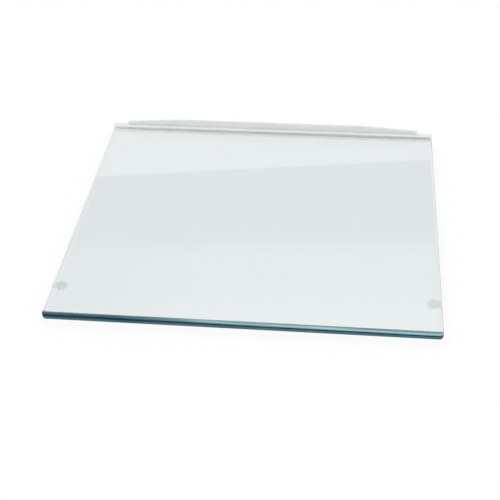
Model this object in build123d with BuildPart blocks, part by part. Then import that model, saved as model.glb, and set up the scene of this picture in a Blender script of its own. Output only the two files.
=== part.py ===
"""Fridge glass shelf.

A thick pane of polished glass carries a moulded plastic trim along its rear edge and two clear
bumpers under its front corners. The trim is a push-on channel with grip ribs inside, and its back
wall stands up above the glass as a stop rim that keeps food off the back of the cabinet.

Millimetres. The origin is at the middle of the footprint, on the surface that the shelf lies on.
+X runs along the width, +Y towards the rear trim and +Z up.
"""
from build123d import *
import os

# Glass plate
glass_width = 300.0
glass_depth = 274.0
glass_thickness = 8.0
glass_corner_radius = 2.8
glass_edge_round = 2.6

# Rear trim channel
trim_lip_depth = 3.8
trim_lip_thickness = 1.1
trim_base_thickness = 1.6
trim_back_wall = 1.5
trim_edge_round = 0.5
trim_inner_round = 0.4
trim_lead_in = 0.2
seat_clearance = 0.3

# Grip ribs that bridge the clearance and press on the flat of the glass
grip_rib_crest = 0.3
grip_rib_foot = 0.6

# Stop rim above the trim
rim_height = 6.4
rim_end_height = 3.1
rim_inset = 13.6
rim_slope_length = 47.0
rim_shoulder_radius = 375.0
rim_corner_radius = 1.4

# Bumpers under the front corners
pad_diameter = 9.5
pad_edge_round = 1.1
pad_side_inset = 1.4
pad_setback = 37.3

# Heights: the bumpers are as tall as the trim below the glass, so the plate lies level
glass_underside_z = trim_base_thickness + seat_clearance
glass_top_z = glass_underside_z + glass_thickness
trim_roof_z = glass_top_z + seat_clearance
trim_top_z = trim_roof_z + trim_lip_thickness
pad_height = glass_underside_z

# Depths, from the front edge of the glass to the back of the trim
overall_depth = glass_depth + seat_clearance + trim_back_wall
front_y = -overall_depth / 2
glass_rear_y = front_y + glass_depth
trim_inner_y = glass_rear_y + seat_clearance
trim_back_y = trim_inner_y + trim_back_wall
trim_mouth_y = trim_inner_y - trim_lip_depth

# The ribs sit between the lead-in and the place where the flat of the glass ends
glass_flat_end_y = glass_rear_y - glass_edge_round
grip_rib_y = (trim_mouth_y + trim_lead_in + glass_flat_end_y) / 2

# Widths: the trim ends flush with the sides of the glass
trim_length = glass_width
rim_half_length = trim_length / 2 - rim_inset

# Bumper places: their tops reach a little over the rounded edge of the underside
pad_radius = pad_diameter / 2
pad_x = glass_width / 2 - pad_side_inset - pad_radius
pad_y = front_y + pad_setback

os.makedirs("parts", exist_ok=True)

# Glass plate with its edges ground round all the way
with BuildPart() as glass_plate:
    with BuildSketch(Plane.XY.offset(glass_underside_z)):
        with Locations((0, front_y + glass_depth / 2)):
            RectangleRounded(glass_width, glass_depth, glass_corner_radius)
    extrude(amount=glass_thickness)
    fillet(glass_plate.faces().filter_by(Axis.Z).edges(), radius=glass_edge_round)
glass_plate.part.label = "glass_plate"
export_step(glass_plate.part, "parts/glass_plate.step")

# Rear trim: channel section, grip ribs and stop rim, moulded in one piece
with BuildPart() as rear_trim:
    with BuildSketch(Plane.YZ.offset(-trim_length / 2)) as channel_section:
        with Locations((trim_mouth_y, 0)):
            Rectangle(trim_back_y - trim_mouth_y, trim_top_z, align=(Align.MIN, Align.MIN))
        with Locations((trim_mouth_y, trim_base_thickness)):
            Rectangle(
                trim_lip_depth,
                trim_roof_z - trim_base_thickness,
                align=(Align.MIN, Align.MIN),
                mode=Mode.SUBTRACT,
            )
        mouth_corners = channel_section.vertices().group_by(Axis.X)[0].sort_by(Axis.Y)
        inner_corners = channel_section.vertices().group_by(Axis.X)[1]
        lower_back_corner = channel_section.vertices().group_by(Axis.X)[-1].sort_by(Axis.Y)[0]
        fillet([mouth_corners[0], mouth_corners[-1], lower_back_corner], radius=trim_edge_round)
        fillet(inner_corners, radius=trim_inner_round)
        chamfer(mouth_corners[1:-1], length=trim_lead_in)
        for seat_z, glass_z in ((trim_base_thickness, glass_underside_z), (trim_roof_z, glass_top_z)):
            with BuildLine():
                Polyline(
                    (grip_rib_y - grip_rib_foot / 2, seat_z),
                    (grip_rib_y - grip_rib_crest / 2, glass_z),
                    (grip_rib_y + grip_rib_crest / 2, glass_z),
                    (grip_rib_y + grip_rib_foot / 2, seat_z),
                    close=True,
                )
            make_face()
    extrude(amount=trim_length)

    with BuildSketch(Plane.XZ.offset(-trim_inner_y)) as rim_outline:
        with BuildLine():
            Polyline(
                (-rim_half_length, trim_roof_z),
                (-rim_half_length, trim_top_z + rim_end_height),
                (-rim_half_length + rim_slope_length, trim_top_z + rim_height),
                (rim_half_length - rim_slope_length, trim_top_z + rim_height),
                (rim_half_length, trim_top_z + rim_end_height),
                (rim_half_length, trim_roof_z),
                close=True,
            )
        make_face()
        fillet(rim_outline.vertices().group_by(Axis.Y)[1], radius=rim_corner_radius)
        fillet(rim_outline.vertices().group_by(Axis.Y)[-1], radius=rim_shoulder_radius)
    extrude(amount=-trim_back_wall)

    rim_front = rear_trim.faces().filter_by(Axis.Y).sort_by(Axis.Z)[-1]
    back_face = rear_trim.faces().filter_by(Axis.Y).sort_by(Axis.Y)[-1]
    rim_ends = rear_trim.faces().filter_by(Axis.X).group_by(Axis.X)[1:-1]
    back_edges = back_face.edges().filter_by_position(Axis.Z, trim_roof_z, trim_top_z + rim_height)
    rim_roots = [end[0].edges().sort_by(Axis.Z)[0] for end in rim_ends]
    fillet(rim_front.edges() + back_edges + rim_roots, radius=trim_edge_round)
rear_trim.part.label = "rear_trim"
export_step(rear_trim.part, "parts/rear_trim.step")

# Clear bumpers, wide at the glass and rounded towards the foot
for pad_name, pad_side in (("left_pad", -1), ("right_pad", 1)):
    with BuildPart() as pad:
        with BuildSketch():
            with Locations((pad_side * pad_x, pad_y)):
                Circle(pad_radius)
        extrude(amount=pad_height)
        fillet(pad.edges().group_by(Axis.Z)[0], radius=pad_edge_round)
    pad.part.label = pad_name
    export_step(pad.part, f"parts/{pad_name}.step")
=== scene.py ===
"""Dresses the fridge glass shelf: polished glass, moulded rear trim, clear bumpers and a plain stage.

All sizes are in metres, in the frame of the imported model: +X along the width, +Y towards the rear
trim, +Z up, with the origin in the middle of the footprint on the surface that the shelf lies on.
"""
import math

import bpy
from bpy.props import FloatProperty, FloatVectorProperty, IntProperty, PointerProperty
from mathutils import Matrix, Vector


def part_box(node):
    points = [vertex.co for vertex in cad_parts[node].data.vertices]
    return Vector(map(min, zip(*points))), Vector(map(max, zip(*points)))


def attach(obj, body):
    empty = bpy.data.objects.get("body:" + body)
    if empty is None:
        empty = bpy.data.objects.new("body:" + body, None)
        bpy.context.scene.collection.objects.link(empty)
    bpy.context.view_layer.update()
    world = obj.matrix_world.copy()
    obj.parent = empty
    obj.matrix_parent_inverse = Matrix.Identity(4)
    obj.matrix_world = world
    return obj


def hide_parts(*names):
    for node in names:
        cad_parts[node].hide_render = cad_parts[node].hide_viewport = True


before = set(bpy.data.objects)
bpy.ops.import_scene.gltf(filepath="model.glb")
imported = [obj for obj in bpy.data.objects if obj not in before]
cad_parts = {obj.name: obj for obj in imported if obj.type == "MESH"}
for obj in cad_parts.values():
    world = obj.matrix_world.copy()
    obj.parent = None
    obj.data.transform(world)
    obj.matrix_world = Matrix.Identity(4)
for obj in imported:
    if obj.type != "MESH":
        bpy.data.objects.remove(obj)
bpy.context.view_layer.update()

bl_info = {
    "name": "Fridge Glass Shelf",
    "version": (1, 0, 0),
    "blender": (4, 5, 0),
    "location": "View3D > Sidebar > Shelf",
    "description": "Builds the finish of a glass fridge shelf and a plain stage around it",
    "category": "Add Mesh",
}

GLASS_LOW, GLASS_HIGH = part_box("glass_plate")
TRIM_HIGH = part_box("rear_trim")[1]
MILLIMETRE = 0.001
QUARTER_TURN = math.pi / 2
WHITE = (1.0, 1.0, 1.0, 1.0)
WHITE_LEVEL = 1.0

# Keywords that settings of one kind share
COLOUR = {"subtype": "COLOR", "size": 3, "min": 0.0, "max": 1.0}
LENGTH = {"unit": "LENGTH", "min": 0.0}
SHARE = {"subtype": "FACTOR", "min": 0.0, "max": 1.0}

# Painted bands of light up an edge that catches the light: place up the edge, colour, share of that
# colour
GLOWING_BANDS = (
    (0.10, "edge_foot", 1.0),
    (0.40, "edge_foot", 0.95),
    (0.50, "edge_foot", 0.60),
    (0.555, "edge_line", 1.0),
    (0.625, "edge_line", 1.0),
    (0.72, "edge_glow", 0.70),
    (0.79, "edge_glow", 1.0),
    (0.88, "edge_glow", 0.80),
    (0.95, "edge_glow", 0.46),
)

# Painted bands of shade up an edge in the shade, in the same form
SHADED_BANDS = (
    (0.10, "edge_foot", 0.95),
    (0.32, "edge_foot", 0.90),
    (0.42, "edge_foot", 0.55),
    (0.48, "edge_line", 1.0),
    (0.62, "edge_line", 1.0),
    (0.71, "edge_shade", 0.60),
    (0.80, "edge_shade", 1.0),
    (0.88, "edge_shade", 1.6),
    (0.95, "edge_glow", 0.60),
)

# Places on X between which the edges turn from painted shade to painted glow
EDGE_SHADE_END = -0.106
EDGE_GLOW_START = 0.020

# Lean of the bands from the left side to the right, and their waves, as shares of the height
EDGE_LEAN = 0.11
EDGE_WAVE = 0.03
EDGE_WAVE_SCALE = (25.0, 25.0, 120.0)

# Streaks of brighter and darker painted light along the edges: size, slant and brightness
EDGE_STREAK_SIZE = (0.030, 0.030, 0.0012)
EDGE_STREAK_SLANT = math.radians(2.0)
EDGE_STREAK_LEVELS = (0.80, 1.25)

# Flatness, from 0 upright to 1 level, where the painted light and shade on an edge end and where its
# rounds begin
FRONT_EDGE_LIMIT = 0.88
SIDE_EDGE_LIMIT = 0.26
EDGE_SOFTNESS = 0.05
ARRIS_FLATNESS = (0.999, 0.93)
GROUND_FLATNESS = (0.999, 0.98)

# How far a surface faces the rear, from -1 to 1, where one finish turns into the next
FRONT_TO_SIDE_TURN = (-0.9, -0.3)
FRONT_ARRIS_TURN = (-0.6, -0.9)
POLISH_END_TURN = (0.5, 0.2)
GROUND_TURN = (0.3, 0.6)

# Share of the light that the matt ground edge lets through
GROUND_THROUGH = 0.8

# Moulded plastic: cycles of the flow marks per metre, their shades, and the grain
FLOW_SCALE = (14.0, 90.0, 90.0)
FLOW_SHADES = (0.97, 1.03)
GRAIN_DETAIL = 3.0
GRAIN_STRENGTH = 0.08
GRAIN_DEPTH = 0.02 * MILLIMETRE

# Depth inside the channel's walls where the paler plastic of painted light has ended, and where it is
# still whole
SEAT_FADE = (0.1 * MILLIMETRE, 0.05 * MILLIMETRE)

# Both plastics: refractive index, and light that spreads as far in each colour
PLASTIC_IOR = 1.49
EVEN_SPREAD = (1.0, 1.0, 1.0)

# Clouds of noise, and the range that holds most of their values
CLOUD_DETAIL = 2.0
CLOUD_RANGE = (0.3, 0.7)

# Greyer ring of a bumper, as shares of its radius
RING_FADE_IN = (0.20, 0.45)
RING_FADE_OUT = (0.80, 1.0)

# Grey panel that the glass mirrors: normals of the sky planes where it starts and fades out
PANEL_LOWER_EDGE = (0.0888, -0.5383, 0.8381)
PANEL_EDGE_SPREAD = 0.0012
PANEL_FADE = (0.0590, -0.6016, 0.7966)
PANEL_FADE_SPREAD = 0.012
PANEL_LEVEL = 0.5

# Ceiling above the panel: brighter as it rises from the panel's fade, and dim left of the lit side
CEILING_RISE = (0.03, 0.07)
CEILING_LEVELS = (0.86, 1.12)
DIM_CEILING_LEVEL = 0.68
LIT_SIDE = (-0.27, -0.10)

# Z of the direction over which the light from the sides turns into light from below
UNDER_LIGHT_FADE = (0.0, -0.02)

# Width of the camera's frame, in its own millimetres
CAMERA_FRAME = 36.0


class GlassPlateSettings(bpy.types.PropertyGroup):
    """Sizes and colours of the glass plate."""

    corner_radius: FloatProperty(
        name="Corner radius",
        description="Radius of the plate's corners seen from above",
        default=2.8 * MILLIMETRE,
        **LENGTH,
    )
    edge_round: FloatProperty(
        name="Edge round",
        description="Radius of the ground round between each face and the edge",
        default=2.6 * MILLIMETRE,
        **LENGTH,
    )
    round_steps: IntProperty(
        name="Round steps",
        description="Faces along each quarter turn of a rounded edge or corner",
        default=16,
        min=2,
    )
    ior: FloatProperty(
        name="Refractive index",
        description="Refractive index of float glass",
        default=1.52,
        min=1.0,
    )
    depth_colour: FloatVectorProperty(
        name="Depth colour",
        description="Colour that light keeps on a long way through the glass",
        default=(0.0, 0.50, 0.64),
        **COLOUR,
    )
    depth_density: FloatProperty(
        name="Depth density",
        description="How fast the glass takes up the other colours, per metre",
        default=0.2,
        min=0.0,
    )
    face_tint: FloatVectorProperty(
        name="Face tint",
        description="Tint of the two large faces",
        default=(0.818, 0.854, 0.856),
        **COLOUR,
    )
    side_arris_tint: FloatVectorProperty(
        name="Side arris tint",
        description="Tint of the rounds that lead from the faces into the side edges",
        default=(0.85, 0.865, 0.865),
        **COLOUR,
    )
    front_arris_tint: FloatVectorProperty(
        name="Front arris tint",
        description="Tint of the rounds that lead from the faces into the front edge",
        default=(0.785, 0.98, 1.0),
        **COLOUR,
    )
    ground_colour: FloatVectorProperty(
        name="Ground colour",
        description="Colour of the matt ground edge inside the trim",
        default=(0.985, 0.985, 0.975),
        **COLOUR,
    )
    # The four edge colours below are painted light and shade on the teal glass: glow, shade, dark line
    # and foot
    edge_glow: FloatVectorProperty(
        name="Edge glow",
        description="Colour of the upper part of an edge where it catches the light",
        default=(0.40, 0.66, 0.71),
        **COLOUR,
    )
    edge_shade: FloatVectorProperty(
        name="Edge shade",
        description="Colour of the upper part of an edge where it looks into the shade",
        default=(0.065, 0.118, 0.146),
        **COLOUR,
    )
    edge_line: FloatVectorProperty(
        name="Edge line",
        description="Colour of the dark line along the middle of an edge",
        default=(0.006, 0.038, 0.061),
        **COLOUR,
    )
    edge_foot: FloatVectorProperty(
        name="Edge foot",
        description="Colour of the lower part of an edge",
        default=(0.096, 0.178, 0.215),
        **COLOUR,
    )
    # Share of an edge that shows the painted light and shade instead of the clear glass
    edge_cover: FloatProperty(
        name="Edge cover",
        description="How much of an edge's look comes from its own colours",
        default=0.985,
        **SHARE,
    )


class RearTrimSettings(bpy.types.PropertyGroup):
    """Colours, grain and painted corner shade of the moulded rear trim."""

    colour: FloatVectorProperty(
        name="Colour",
        description="Colour of the white plastic",
        default=(0.80, 0.822, 0.811),
        **COLOUR,
    )
    roughness: FloatProperty(
        name="Roughness",
        description="Roughness of the satin moulded skin",
        default=0.42,
        **SHARE,
    )
    translucence: FloatProperty(
        name="Translucence",
        description="How far light spreads inside the plastic",
        default=1.0 * MILLIMETRE,
        **LENGTH,
    )
    # Painted light: the channel's paler colour lifts the shade inside it
    seat_lit_colour: FloatVectorProperty(
        name="Seat colour",
        description="Colour of the clean plastic in the channel that holds the glass",
        default=(0.98, 0.955, 0.92),
        **COLOUR,
    )
    seat_translucence: FloatProperty(
        name="Seat translucence",
        description="How far light spreads inside the thin walls of the channel",
        default=100.0 * MILLIMETRE,
        **LENGTH,
    )
    seat_clearance: FloatProperty(
        name="Seat clearance",
        description="Gap between the channel and the glass",
        default=0.3 * MILLIMETRE,
        **LENGTH,
    )
    rim_height: FloatProperty(
        name="Rim height",
        description="Height of the stop rim above the lip",
        default=6.4 * MILLIMETRE,
        **LENGTH,
    )
    rim_inset: FloatProperty(
        name="Rim inset",
        description="Distance from each end of the trim to the stop rim",
        default=13.6 * MILLIMETRE,
        **LENGTH,
    )
    # Painted shade: the three settings below darken lip and rim along the foot of the stop rim, where
    # shade falls in the corner
    corner_shade_reach: FloatProperty(
        name="Dust reach",
        description="How far the dust along the foot of the stop rim spreads over the lip",
        default=2.6 * MILLIMETRE,
        **LENGTH,
    )
    corner_shade_height: FloatProperty(
        name="Dust height",
        description="How far the dust climbs up the stop rim",
        default=0.5 * MILLIMETRE,
        **LENGTH,
    )
    corner_shade_level: FloatProperty(
        name="Dust level",
        description="How much of the plastic's colour the dust leaves",
        default=0.90,
        **SHARE,
    )
    grain_size: FloatProperty(
        name="Grain size",
        description="Spacing of the fine moulded grain",
        default=0.35 * MILLIMETRE,
        **LENGTH,
    )


class BumperSettings(bpy.types.PropertyGroup):
    """Sizes and colours of the clear bumpers."""

    edge_round: FloatProperty(
        name="Edge round",
        description="Radius of the bumper's lower edge",
        default=1.1 * MILLIMETRE,
        **LENGTH,
    )
    film_gap: FloatProperty(
        name="Film gap",
        description="Thickness of the adhesive film between bumper and glass",
        default=0.05 * MILLIMETRE,
        **LENGTH,
    )
    round_steps: IntProperty(
        name="Round steps",
        description="Faces along the quarter turn of the lower edge",
        default=8,
        min=2,
    )
    turn_steps: IntProperty(
        name="Turn steps",
        description="Faces around the bumper",
        default=64,
        min=8,
    )
    colour: FloatVectorProperty(
        name="Colour",
        description="Colour of the soft plastic in the middle of a bumper",
        default=(0.99, 0.97, 0.98),
        **COLOUR,
    )
    ring_colour: FloatVectorProperty(
        name="Ring colour",
        description="Colour of the adhesive ring around the middle",
        default=(0.93, 0.905, 0.92),
        **COLOUR,
    )
    roughness: FloatProperty(
        name="Roughness",
        description="Roughness of the soft skin",
        default=0.4,
        **SHARE,
    )
    translucence: FloatProperty(
        name="Translucence",
        description="How far light spreads inside the milky plastic",
        default=1.0 * MILLIMETRE,
        **LENGTH,
    )


class StageSettings(bpy.types.PropertyGroup):
    """Camera, floor and light."""

    camera_place: FloatVectorProperty(
        name="Camera place",
        description="Where the camera stands",
        subtype="TRANSLATION",
        unit="LENGTH",
        size=3,
        default=(0.07887, -0.72284, 0.52805),
    )
    camera_elevation: FloatProperty(
        name="Camera elevation",
        description="How far the camera looks down",
        subtype="ANGLE",
        default=math.radians(37.402),
    )
    camera_yaw: FloatProperty(
        name="Camera yaw",
        description="How far the camera turns to the left of the shelf's depth",
        subtype="ANGLE",
        default=math.radians(6.748),
    )
    camera_roll: FloatProperty(
        name="Camera roll",
        description="How far the camera leans about its own line of sight",
        subtype="ANGLE",
        default=math.radians(-1.474),
    )
    camera_lens: FloatProperty(
        name="Camera lens",
        description="Focal length for a 36 mm frame",
        default=76.411,
        min=1.0,
        unit="CAMERA",
    )
    floor_size: FloatProperty(
        name="Floor size",
        description="Side of the square floor",
        default=16.0,
        min=1.0,
        unit="LENGTH",
    )
    floor_sink: FloatProperty(
        name="Floor sink",
        description="How far the feet sink into the soft floor, so that light from below reaches them",
        default=0.02 * MILLIMETRE,
        **LENGTH,
    )
    floor_colour: FloatVectorProperty(
        name="Floor colour",
        description="Colour of the plain floor",
        default=(1.0, 1.0, 1.0),
        **COLOUR,
    )
    floor_white: FloatProperty(
        name="Floor white",
        description="How much of the floor's look is plain white, and not light and shadow",
        default=0.82,
        **SHARE,
    )
    sky_low: FloatProperty(
        name="Low light",
        description="Strength of the soft light from the sides",
        default=0.6,
        min=0.0,
    )
    sky_high: FloatProperty(
        name="High light",
        description="Strength of the soft light from above",
        default=1.2,
        min=0.0,
    )
    sky_under: FloatProperty(
        name="Under light",
        description="Strength of the soft light from below, as on a lit table",
        default=0.92,
        min=0.0,
    )
    light_bounces: IntProperty(
        name="Light bounces",
        description="Bounces that light may take along the inside of the glass",
        default=48,
        min=4,
    )


def link_object(name, mesh):
    """A new object in the scene that holds the mesh."""
    piece = bpy.data.objects.new(name, mesh)
    bpy.context.scene.collection.objects.link(piece)
    return piece


def smooth_mesh(name, points, normals, faces):
    """A mesh whose shading follows the given normals."""
    mesh = bpy.data.meshes.new(name)
    mesh.from_pydata(points, [], faces)
    mesh.polygons.foreach_set("use_smooth", [True] * len(mesh.polygons))
    mesh.validate()
    mesh.normals_split_custom_set_from_vertices(normals)
    return mesh


def ring_faces(ring_count, ring_size):
    """Quads between neighbouring rings of points, each ring closed on itself."""
    faces = []
    for ring in range(ring_count - 1):
        for step in range(ring_size):
            ahead = (step + 1) % ring_size
            upper, lower = ring * ring_size, (ring + 1) * ring_size
            faces.append((upper + step, lower + step, lower + ahead, upper + ahead))
    return faces


def cap_face(ring, ring_size, facing_up):
    """One face that closes a ring of points."""
    corners = range(ring * ring_size, (ring + 1) * ring_size)
    return tuple(corners) if facing_up else tuple(reversed(corners))


def plate_outline(low, high, radius, steps):
    """Corner centres and outward directions around a rounded rectangle, anticlockwise from above."""
    centres = (
        Vector((high.x - radius, high.y - radius)),
        Vector((low.x + radius, high.y - radius)),
        Vector((low.x + radius, low.y + radius)),
        Vector((high.x - radius, low.y + radius)),
    )
    outline = []
    for quarter, centre in enumerate(centres):
        for step in range(steps + 1):
            turn = QUARTER_TURN * (quarter + step / steps)
            outline.append((centre, Vector((math.cos(turn), math.sin(turn)))))
    return outline


def arris_profile(low, high, edge_round, steps):
    """Inset, height and slope angle down the plate's edge, from the top face to the underside."""
    profile = []
    for side, height in ((1, high.z), (-1, low.z)):
        for step in range(steps + 1):
            share = step / steps if side > 0 else 1 - step / steps
            slope = side * QUARTER_TURN * (1 - share)
            inset = edge_round * (1 - math.cos(slope))
            drop = edge_round * (1 - math.sin(abs(slope)))
            profile.append((inset, height - side * drop, slope))
    return profile


def glass_plate_mesh(settings):
    """Plate with rounded corners and a rounded arris round both faces."""
    outline = plate_outline(GLASS_LOW, GLASS_HIGH, settings.corner_radius, settings.round_steps)
    profile = arris_profile(GLASS_LOW, GLASS_HIGH, settings.edge_round, settings.round_steps)
    points, normals = [], []
    for inset, height, slope in profile:
        for centre, outward in outline:
            place = centre + outward * (settings.corner_radius - inset)
            points.append((place.x, place.y, height))
            level = outward * math.cos(slope)
            normals.append((level.x, level.y, math.sin(slope)))
    faces = ring_faces(len(profile), len(outline))
    faces.append(cap_face(0, len(outline), True))
    faces.append(cap_face(len(profile) - 1, len(outline), False))
    return smooth_mesh("glass_plate_finish", points, normals, faces)


def bumper_mesh(name, low, high, settings):
    """Round bumper turned about its own axis, with a rounded foot and a flat top of its own points."""
    centre = (low + high) / 2
    radius = (high.x - low.x) / 2
    top = high.z - settings.film_gap
    profile = [(radius, top, 0.0)]
    for step in range(settings.round_steps + 1):
        slope = -QUARTER_TURN * step / settings.round_steps
        out = radius - settings.edge_round * (1 - math.cos(slope))
        profile.append((out, low.z + settings.edge_round * (1 + math.sin(slope)), slope))
    top_ring = (radius, top, QUARTER_TURN)
    points, normals = [], []
    for out, height, slope in (*profile, top_ring):
        level = math.cos(slope)
        for step in range(settings.turn_steps):
            turn = 2 * math.pi * step / settings.turn_steps
            points.append((centre.x + out * math.cos(turn), centre.y + out * math.sin(turn), height))
            normals.append((level * math.cos(turn), level * math.sin(turn), math.sin(slope)))
    faces = ring_faces(len(profile), settings.turn_steps)
    faces.append(cap_face(len(profile) - 1, settings.turn_steps, False))
    faces.append(cap_face(len(profile), settings.turn_steps, True))
    return smooth_mesh(name, points, normals, faces)


def plug(tree, value, socket):
    """Links another node's output to a socket, or sets the socket to a plain value."""
    if isinstance(value, bpy.types.NodeSocket):
        tree.links.new(value, socket)
    else:
        socket.default_value = value


def add_node(tree, kind, settings=None, **inputs):
    """A node of that kind, with its settings and its input values or links."""
    node = tree.nodes.new(kind)
    for name, value in (settings or {}).items():
        setattr(node, name, value)
    for name, value in inputs.items():
        plug(tree, value, node.inputs[name.replace("_", " ")])
    return node


def new_material(name):
    """A material with an empty node tree and its output node."""
    material = bpy.data.materials.new(name)
    material.use_nodes = True
    material.node_tree.nodes.clear()
    output = add_node(material.node_tree, "ShaderNodeOutputMaterial")
    return material, output


def rgba(colour):
    """A colour with full alpha."""
    return (colour[0], colour[1], colour[2], 1.0)


def dimmed(colour, share):
    """That share of a colour, with full alpha."""
    return rgba([part * share for part in colour])


def axes_of(tree, vector):
    """The X, Y and Z of a vector."""
    return add_node(tree, "ShaderNodeSeparateXYZ", Vector=vector).outputs


def maths(tree, operation, *terms):
    """Result of an operation on numbers, each a value or a link."""
    node = add_node(tree, "ShaderNodeMath", {"operation": operation})
    for term, socket in zip(terms, node.inputs):
        plug(tree, term, socket)
    return node.outputs["Value"]


def vector_maths(tree, operation, *terms):
    """Outputs of an operation on vectors, each a value or a link."""
    node = add_node(tree, "ShaderNodeVectorMath", {"operation": operation})
    for term, socket in zip(terms, node.inputs):
        plug(tree, term, socket)
    return node.outputs


def product(tree, *factors):
    """All the factors multiplied together."""
    result = factors[0]
    for factor in factors[1:]:
        result = maths(tree, "MULTIPLY", result, factor)
    return result


def ranged(tree, value, source, target, smooth=False, clamp=True):
    """A value carried from the source range to the target range."""
    shape = "SMOOTHSTEP" if smooth else "LINEAR"
    node = add_node(
        tree,
        "ShaderNodeMapRange",
        {"interpolation_type": shape, "clamp": clamp},
        Value=value,
        From_Min=source[0],
        From_Max=source[1],
        To_Min=target[0],
        To_Max=target[1],
    )
    return node.outputs["Result"]


def fade(tree, value, start, end, smooth=False):
    """0 up to the start, 1 from the end on, and a slope between them."""
    return ranged(tree, value, (start, end), (0.0, 1.0), smooth)


def mixed_level(tree, share, first, second):
    """Mix of two numbers, each a value or a link."""
    return add_node(tree, "ShaderNodeMix", Factor=share, A=first, B=second).outputs["Result"]


def mixed_colour(tree, share, first, second):
    """Mix of two colours, each a value or a link."""
    node = add_node(tree, "ShaderNodeMix", {"data_type": "RGBA"}, Factor=share)
    first_socket, second_socket = [socket for socket in node.inputs if socket.type == "RGBA"]
    for colour, socket in ((first, first_socket), (second, second_socket)):
        plug(tree, colour if isinstance(colour, bpy.types.NodeSocket) else rgba(colour), socket)
    return next(socket for socket in node.outputs if socket.type == "RGBA")


def blended(tree, share, first, second):
    """Mix of two shaders."""
    node = add_node(tree, "ShaderNodeMixShader")
    for value, socket in zip((share, first, second), node.inputs):
        plug(tree, value, socket)
    return node.outputs["Shader"]


def colour_ramp(tree, place, stops):
    """Colours along a ramp, each at its own place."""
    ramp = add_node(tree, "ShaderNodeValToRGB", Fac=place)
    elements = ramp.color_ramp.elements
    while len(elements) < len(stops):
        elements.new(1.0)
    for element, (position, colour) in zip(elements, stops):
        element.position = position
        element.color = colour
    return ramp.outputs["Color"]


def clouds(tree, vector):
    """Soft noise that changes over about one unit of the vector."""
    noise = add_node(tree, "ShaderNodeTexNoise", Vector=vector, Scale=1.0, Detail=CLOUD_DETAIL)
    return noise.outputs["Fac"]


def stretched_clouds(tree, place, scale):
    """Soft noise with its own number of cycles per metre along each axis."""
    return clouds(tree, vector_maths(tree, "MULTIPLY", place, scale)["Vector"])


def backfacing(tree):
    """1 where a solid is seen from its inside, or the floor from below, and 0 elsewhere."""
    return add_node(tree, "ShaderNodeNewGeometry").outputs["Backfacing"]


def edge_height(tree, place):
    """Share of the plate's height, leaning a little along the width and slightly wavy."""
    axes = axes_of(tree, place)
    share = ranged(tree, axes["Z"], (GLASS_LOW.z, GLASS_HIGH.z), (0.0, 1.0), clamp=False)
    lean = ranged(tree, axes["X"], (GLASS_LOW.x, GLASS_HIGH.x), (-EDGE_LEAN / 2, EDGE_LEAN / 2))
    wave = stretched_clouds(tree, place, EDGE_WAVE_SCALE)
    sway = ranged(tree, wave, (0.0, 1.0), (-EDGE_WAVE, EDGE_WAVE))
    return maths(tree, "ADD", maths(tree, "ADD", share, lean), sway)


def edge_bands(tree, height, settings, bands):
    """Colours up an edge, from its foot past the dark line to its upper part."""
    stops = [(place, dimmed(getattr(settings, tone), share)) for place, tone, share in bands]
    return colour_ramp(tree, height, stops)


def streaked(tree, place, colour):
    """A colour with long slanting streaks of brighter and darker painted light along an edge."""
    slanted = add_node(
        tree,
        "ShaderNodeMapping",
        {"vector_type": "TEXTURE"},
        Vector=place,
        Rotation=(0.0, EDGE_STREAK_SLANT, 0.0),
        Scale=EDGE_STREAK_SIZE,
    )
    level = ranged(tree, clouds(tree, slanted.outputs["Vector"]), CLOUD_RANGE, EDGE_STREAK_LEVELS)
    scaled = add_node(tree, "ShaderNodeVectorMath", {"operation": "SCALE"}, Vector=colour, Scale=level)
    return scaled.outputs["Vector"]


def edge_directions(tree, normal):
    """How far a surface's outside faces the rear, from -1 to 1, and how flat it lies, from 0 to 1."""
    axes = axes_of(tree, normal)
    level = add_node(tree, "ShaderNodeCombineXYZ", X=axes["X"], Y=axes["Y"]).outputs["Vector"]
    seen_rearward = axes_of(tree, vector_maths(tree, "NORMALIZE", level)["Vector"])["Y"]
    outward = ranged(tree, backfacing(tree), (0.0, 1.0), (1.0, -1.0))
    return product(tree, seen_rearward, outward), maths(tree, "ABSOLUTE", axes["Z"])


def edge_painted_light_mask(tree, rearward, flat):
    """1 on the upright part of the front and side edges, seen from outside, where light and shade are
    painted, and 0 elsewhere.
    """
    limit = ranged(tree, rearward, FRONT_TO_SIDE_TURN, (FRONT_EDGE_LIMIT, SIDE_EDGE_LIMIT))
    beyond = maths(tree, "SUBTRACT", flat, limit)
    upright = fade(tree, beyond, EDGE_SOFTNESS, -EDGE_SOFTNESS)
    bare = fade(tree, rearward, *POLISH_END_TURN)
    outside = fade(tree, backfacing(tree), 1.0, 0.0)
    return product(tree, upright, bare, outside)


def edge_painted_light(tree, place, settings):
    """Painted light and shade on a polished edge: opaque teal bands, glowing on the right and in the
    shade on the left.
    """
    height = edge_height(tree, place)
    lit = fade(tree, axes_of(tree, place)["X"], EDGE_SHADE_END, EDGE_GLOW_START, smooth=True)
    shaded = edge_bands(tree, height, settings, SHADED_BANDS)
    glowing = edge_bands(tree, height, settings, GLOWING_BANDS)
    tone = streaked(tree, place, mixed_colour(tree, lit, shaded, glowing))
    return add_node(tree, "ShaderNodeBsdfDiffuse", Color=tone).outputs["BSDF"]


def ground_edge(tree, settings):
    """Matt ground glass that scatters light to both of its sides."""
    colour = rgba(settings.ground_colour)
    back = add_node(tree, "ShaderNodeBsdfDiffuse", Color=colour).outputs["BSDF"]
    through = add_node(tree, "ShaderNodeBsdfTranslucent", Color=colour).outputs["BSDF"]
    return blended(tree, GROUND_THROUGH, back, through)


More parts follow.
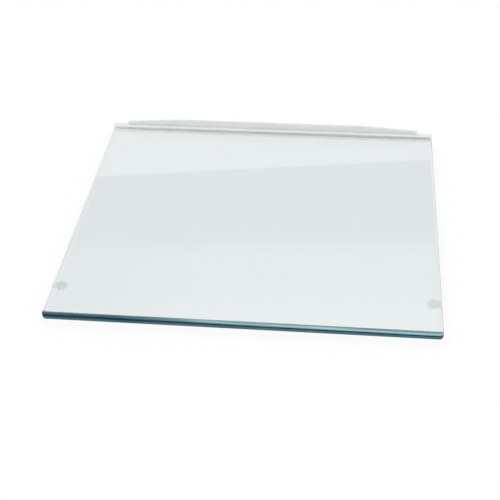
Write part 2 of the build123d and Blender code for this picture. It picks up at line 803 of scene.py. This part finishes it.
def glass_material(settings):
    """Clear float glass: nearly colourless through its faces and teal along its polished edges, with
    light and shade painted on them.
    """
    material, output = new_material("clear float glass")
    tree = material.node_tree
    texture_place = add_node(tree, "ShaderNodeTexCoord").outputs
    rearward, flat = edge_directions(tree, texture_place["Normal"])
    frontward = fade(tree, rearward, *FRONT_ARRIS_TURN)
    arris = mixed_colour(tree, frontward, settings.side_arris_tint, settings.front_arris_tint)
    tint = mixed_colour(tree, fade(tree, flat, *ARRIS_FLATNESS), settings.face_tint, arris)
    glass = add_node(
        tree,
        "ShaderNodeBsdfPrincipled",
        Base_Color=tint,
        Roughness=0.0,
        IOR=settings.ior,
        Transmission_Weight=1.0,
    )
    # Painted light and shade on the front and side edges
    polished = edge_painted_light(tree, texture_place["Object"], settings)
    cover = product(tree, edge_painted_light_mask(tree, rearward, flat), settings.edge_cover)
    dressed = blended(tree, cover, glass.outputs["BSDF"], polished)
    hidden = product(tree, fade(tree, rearward, *GROUND_TURN), fade(tree, flat, *GROUND_FLATNESS))
    surface = blended(tree, hidden, dressed, ground_edge(tree, settings))
    depth = add_node(
        tree,
        "ShaderNodeVolumeAbsorption",
        Color=rgba(settings.depth_colour),
        Density=settings.depth_density,
    )
    tree.links.new(surface, output.inputs["Surface"])
    tree.links.new(depth.outputs["Volume"], output.inputs["Volume"])
    return material


def seat_mask(tree, place, settings):
    """1 on the faces of the channel that are turned to the glass, 0 on the rest of the trim."""
    axes = axes_of(tree, place)
    masks = []
    for axis, glass_end in (("Y", GLASS_HIGH.y), ("Z", GLASS_HIGH.z)):
        wall = glass_end + settings.seat_clearance
        masks.append(fade(tree, axes[axis], *[wall + margin for margin in SEAT_FADE]))
    return product(tree, *masks)


def corner_shade_mask(tree, place, settings):
    """Painted shade in the corner: 1 on the lip close to the foot of the stop rim, fading out towards
    the glass, 0 elsewhere.
    """
    axes = axes_of(tree, place)
    rim_y = GLASS_HIGH.y + settings.seat_clearance
    near = fade(tree, axes["Y"], rim_y - settings.corner_shade_reach, rim_y - settings.corner_shade_reach / 2)
    rim_foot = TRIM_HIGH.z - settings.rim_height
    low = fade(tree, axes["Z"], rim_foot + settings.corner_shade_height, rim_foot)
    rim_end = TRIM_HIGH.x - settings.rim_inset
    sideways = maths(tree, "ABSOLUTE", axes["X"])
    beside = fade(tree, sideways, rim_end, rim_end - settings.corner_shade_reach)
    return product(tree, near, low, beside)


def moulded_colour(tree, place, settings):
    """White plastic with faint cloudy flow marks along its length, and painted shade in the corner at
    the foot of the rim.
    """
    marks = fade(tree, stretched_clouds(tree, place, FLOW_SCALE), *CLOUD_RANGE)
    skin = mixed_colour(tree, marks, *[dimmed(settings.colour, shade) for shade in FLOW_SHADES])
    # Painted shade in the corner between lip and rim
    corner_shade_tone = dimmed(settings.colour, settings.corner_shade_level)
    return mixed_colour(tree, corner_shade_mask(tree, place, settings), skin, corner_shade_tone)


def moulded_grain(tree, place, settings):
    """Bump of the fine satin grain."""
    grain = add_node(
        tree,
        "ShaderNodeTexNoise",
        Vector=place,
        Scale=1.0 / settings.grain_size,
        Detail=GRAIN_DETAIL,
    )
    bump = add_node(
        tree,
        "ShaderNodeBump",
        Strength=GRAIN_STRENGTH,
        Distance=GRAIN_DEPTH,
        Height=grain.outputs["Fac"],
    )
    return bump.outputs["Normal"]


def plastic_material(settings):
    """White moulded plastic, paler in the channel that holds the glass as painted light, with light
    spreading further there.
    """
    material, output = new_material("white moulded plastic")
    tree = material.node_tree
    place = add_node(tree, "ShaderNodeTexCoord").outputs["Object"]
    seat = seat_mask(tree, place, settings)
    # Painted light: the paler colour in the channel
    tone = mixed_colour(tree, seat, moulded_colour(tree, place, settings), settings.seat_lit_colour)
    spread = ranged(tree, seat, (0.0, 1.0), (settings.translucence, settings.seat_translucence))
    plastic = add_node(
        tree,
        "ShaderNodeBsdfPrincipled",
        Base_Color=tone,
        Roughness=settings.roughness,
        IOR=PLASTIC_IOR,
        Subsurface_Weight=1.0,
        Subsurface_Radius=EVEN_SPREAD,
        Subsurface_Scale=spread,
        Normal=moulded_grain(tree, place, settings),
    )
    tree.links.new(plastic.outputs["BSDF"], output.inputs["Surface"])
    return material


def bumper_reach(tree, place):
    """Distance from a bumper's own axis, as a share of its radius, the same on both sides."""
    low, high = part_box("right_pad")
    centre = (low + high) / 2
    mirrored = axes_of(tree, vector_maths(tree, "ABSOLUTE", place)["Vector"])
    level = add_node(tree, "ShaderNodeCombineXYZ", X=mirrored["X"], Y=mirrored["Y"]).outputs["Vector"]
    axis = (abs(centre.x), abs(centre.y), 0.0)
    reach = vector_maths(tree, "DISTANCE", level, axis)["Value"]
    return fade(tree, reach, 0.0, (high.x - low.x) / 2)


def bumper_material(settings):
    """Soft milky plastic, with a greyer ring around its middle."""
    material, output = new_material("clear soft bumper")
    tree = material.node_tree
    place = add_node(tree, "ShaderNodeTexCoord").outputs["Object"]
    tones = (settings.colour, settings.ring_colour, settings.ring_colour, settings.colour)
    stops = [(reach, rgba(tone)) for reach, tone in zip(RING_FADE_IN + RING_FADE_OUT, tones)]
    soft = add_node(
        tree,
        "ShaderNodeBsdfPrincipled",
        Base_Color=colour_ramp(tree, bumper_reach(tree, place), stops),
        Roughness=settings.roughness,
        IOR=PLASTIC_IOR,
        Subsurface_Weight=1.0,
        Subsurface_Radius=EVEN_SPREAD,
        Subsurface_Scale=settings.translucence,
    )
    tree.links.new(soft.outputs["BSDF"], output.inputs["Surface"])
    return material


class SHELF_OT_glass_plate(bpy.types.Operator):
    """Make the polished glass plate in place of its plain solid"""

    bl_idname = "shelf.glass_plate"
    bl_label = "Glass Plate"

    def execute(self, context):
        settings = context.scene.shelf_glass
        plate = link_object("glass_plate_finish", glass_plate_mesh(settings))
        plate.data.materials.append(glass_material(settings))
        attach(plate, "root")
        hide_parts("glass_plate")
        return {"FINISHED"}


class SHELF_OT_rear_trim(bpy.types.Operator):
    """Give the rear trim its moulded plastic"""

    bl_idname = "shelf.rear_trim"
    bl_label = "Rear Trim"

    def execute(self, context):
        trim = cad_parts["rear_trim"]
        trim.data.materials.clear()
        trim.data.materials.append(plastic_material(context.scene.shelf_trim))
        return {"FINISHED"}


class SHELF_OT_bumpers(bpy.types.Operator):
    """Make the clear bumpers in place of their plain solids"""

    bl_idname = "shelf.bumpers"
    bl_label = "Bumpers"

    def execute(self, context):
        settings = context.scene.shelf_bumpers
        material = bumper_material(settings)
        for node in ("left_pad", "right_pad"):
            name = node + "_finish"
            bumper = link_object(name, bumper_mesh(name, *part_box(node), settings))
            bumper.data.materials.append(material)
            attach(bumper, "root")
            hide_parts(node)
        return {"FINISHED"}


def seen_directly(tree):
    """1 for rays that come from the camera or that glass and gloss send on, 0 for soft light."""
    path = add_node(tree, "ShaderNodeLightPath").outputs
    seen = path["Is Camera Ray"]
    for kind in ("Is Glossy Ray", "Is Transmission Ray"):
        seen = maths(tree, "MAXIMUM", seen, path[kind])
    return seen


def floor_material(settings):
    """Plain white floor with a faint shadow, that can be seen through from below."""
    material, output = new_material("plain floor")
    material.cycles.emission_sampling = "NONE"
    tree = material.node_tree
    paint = add_node(tree, "ShaderNodeBsdfDiffuse", Color=rgba(settings.floor_colour)).outputs["BSDF"]
    white = add_node(tree, "ShaderNodeEmission", Color=WHITE, Strength=WHITE_LEVEL).outputs["Emission"]
    share = product(tree, seen_directly(tree), settings.floor_white)
    clear = add_node(tree, "ShaderNodeBsdfTransparent").outputs["BSDF"]
    shown = blended(tree, backfacing(tree), blended(tree, share, paint, white), clear)
    tree.links.new(shown, output.inputs["Surface"])
    return material


def add_floor(settings):
    """Square floor that the shelf lies on."""
    half = settings.floor_size / 2
    sides = ((-half, -half), (half, -half), (half, half), (-half, half))
    corners = [(x, y, settings.floor_sink) for x, y in sides]
    mesh = bpy.data.meshes.new("floor")
    mesh.from_pydata(corners, [], [(0, 1, 2, 3)])
    floor = link_object("floor", mesh)
    mesh.materials.append(floor_material(settings))


def mirrored_level(tree, direction):
    """Brightness of the studio that the glass mirrors: white wall, grey panel and bright ceiling."""
    above_edge = vector_maths(tree, "DOT_PRODUCT", direction, PANEL_LOWER_EDGE)["Value"]
    above_fade = vector_maths(tree, "DOT_PRODUCT", direction, PANEL_FADE)["Value"]
    panel_share = fade(tree, above_edge, -PANEL_EDGE_SPREAD, PANEL_EDGE_SPREAD, smooth=True)
    ceiling_share = fade(tree, above_fade, -PANEL_FADE_SPREAD, PANEL_FADE_SPREAD, smooth=True)
    lit_side = fade(tree, axes_of(tree, direction)["X"], *LIT_SIDE, smooth=True)
    overhead = ranged(tree, above_fade, CEILING_RISE, CEILING_LEVELS, smooth=True)
    ceiling = mixed_level(tree, lit_side, DIM_CEILING_LEVEL, overhead)
    panel = mixed_level(tree, ceiling_share, PANEL_LEVEL, ceiling)
    return mixed_level(tree, panel_share, WHITE_LEVEL, panel)


def add_sky(settings):
    """Soft light from all round that looks white, and that gloss mirrors as a studio."""
    world = bpy.data.worlds.new("soft studio")
    world.use_nodes = True
    bpy.context.scene.world = world
    tree = world.node_tree
    tree.nodes.clear()
    direction = add_node(tree, "ShaderNodeTexCoord").outputs["Generated"]
    height = axes_of(tree, direction)["Z"]
    upper = ranged(tree, height, (0.0, 1.0), (settings.sky_low, settings.sky_high))
    soft = mixed_level(tree, fade(tree, height, *UNDER_LIGHT_FADE), upper, settings.sky_under)
    plain = mixed_level(tree, seen_directly(tree), soft, WHITE_LEVEL)
    path = add_node(tree, "ShaderNodeLightPath").outputs
    bounced = fade(tree, path["Glossy Depth"], 0.0, 1.0)
    mirrored = product(tree, path["Is Glossy Ray"], bounced)
    strength = mixed_level(tree, mirrored, plain, mirrored_level(tree, direction))
    light = add_node(tree, "ShaderNodeBackground", Color=WHITE, Strength=strength)
    add_node(tree, "ShaderNodeOutputWorld", Surface=light.outputs["Background"])


def add_camera(settings):
    """Camera at the photograph's viewing angle."""
    data = bpy.data.cameras.new("camera")
    data.sensor_width = CAMERA_FRAME
    data.lens = settings.camera_lens
    camera = bpy.data.objects.new("camera", data)
    bpy.context.scene.collection.objects.link(camera)
    turn = (
        Matrix.Rotation(settings.camera_yaw, 4, "Z")
        @ Matrix.Rotation(QUARTER_TURN - settings.camera_elevation, 4, "X")
        @ Matrix.Rotation(settings.camera_roll, 4, "Z")
    )
    camera.matrix_world = Matrix.Translation(settings.camera_place) @ turn
    bpy.context.scene.camera = camera


class SHELF_OT_stage(bpy.types.Operator):
    """Set up the floor, the light and the camera"""

    bl_idname = "shelf.stage"
    bl_label = "Stage"

    def execute(self, context):
        settings = context.scene.shelf_stage
        add_floor(settings)
        add_sky(settings)
        add_camera(settings)
        context.scene.view_settings.view_transform = "Standard"
        cycles = context.scene.cycles
        cycles.max_bounces = settings.light_bounces
        cycles.glossy_bounces = settings.light_bounces
        cycles.transmission_bounces = settings.light_bounces
        cycles.blur_glossy = 0.0
        return {"FINISHED"}


class SHELF_PT_sidebar(bpy.types.Panel):
    """Lists the steps that dress the shelf"""

    bl_idname = "SHELF_PT_sidebar"
    bl_label = "Fridge Glass Shelf"
    bl_space_type = "VIEW_3D"
    bl_region_type = "UI"
    bl_category = "Shelf"

    def draw(self, context):
        for step in STEPS:
            self.layout.operator(step.bl_idname)


STEPS = (SHELF_OT_glass_plate, SHELF_OT_rear_trim, SHELF_OT_bumpers, SHELF_OT_stage)
SETTINGS = {
    "shelf_glass": GlassPlateSettings,
    "shelf_trim": RearTrimSettings,
    "shelf_bumpers": BumperSettings,
    "shelf_stage": StageSettings,
}
CLASSES = (*SETTINGS.values(), *STEPS, SHELF_PT_sidebar)


def register():
    """Registers the classes and hangs the settings on the scene."""
    for item in CLASSES:
        bpy.utils.register_class(item)
    for name, group in SETTINGS.items():
        setattr(bpy.types.Scene, name, PointerProperty(type=group))


def unregister():
    """Takes the settings and the classes away again."""
    for name in SETTINGS:
        delattr(bpy.types.Scene, name)
    for item in reversed(CLASSES):
        bpy.utils.unregister_class(item)


def main():
    """Dresses the shelf and sets the stage."""
    register()
    bpy.ops.shelf.glass_plate()
    bpy.ops.shelf.rear_trim()
    bpy.ops.shelf.bumpers()
    bpy.ops.shelf.stage()


if __name__ == "__main__":
    main()
